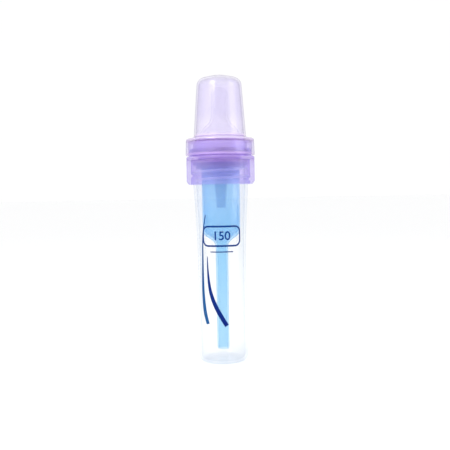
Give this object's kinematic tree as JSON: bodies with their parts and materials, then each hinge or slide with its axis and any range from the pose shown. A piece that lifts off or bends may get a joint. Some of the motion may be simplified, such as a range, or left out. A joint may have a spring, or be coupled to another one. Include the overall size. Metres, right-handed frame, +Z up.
{
  "type": "vented baby feeding bottle",
  "caption": "Slim clear feeding bottle with a two-part air vent, silicone nipple, screw collar and a push-on travel cap.",
  "frame": {"origin": "centre of the base, on the plane that the bottle stands on", "axes": "+Z up along the bottle's axis, from its base to the top of the travel cap; +X and +Y are free, since the shape is round"},
  "size_m": [0.0546, 0.0546, 0.2248],
  "materials": {
    "clear_plastic": "clear blow-moulded polypropylene, smooth and faintly hazy",
    "blue_plastic": "translucent light-blue moulded polypropylene",
    "lilac_plastic": "translucent lilac moulded polypropylene",
    "silicone": "soft translucent silicone, satin"
  },
  "bodies": {
    "bottle": {"bottle": "clear_plastic", "vent_reservoir": "blue_plastic", "vent_insert": "blue_plastic"},
    "nipple": {"nipple": "silicone"},
    "collar": {"screw_collar": "lilac_plastic"},
    "travel_cap": {"travel_cap": "lilac_plastic"}
  },
  "joints": [
    {"name": "collar_rise", "type": "slide", "parent": "bottle", "child": "nipple", "axis": [0, 0, 1], "range_m": [0, 0.009]},
    {"name": "collar_turn", "type": "hinge", "parent": "nipple", "child": "collar", "pos_m": [0, 0, 0.155], "axis": [0, 0, 1], "range_deg": [0, 540]},
    {"name": "cap_pull_off", "type": "slide", "parent": "collar", "child": "travel_cap", "axis": [0, 0, 1], "range_m": [0, 0.065]}
  ],
  "couplings": [
    {"joint": "collar_turn", "follows": "collar_rise", "rad_per_m": 1047.2}
  ]
}
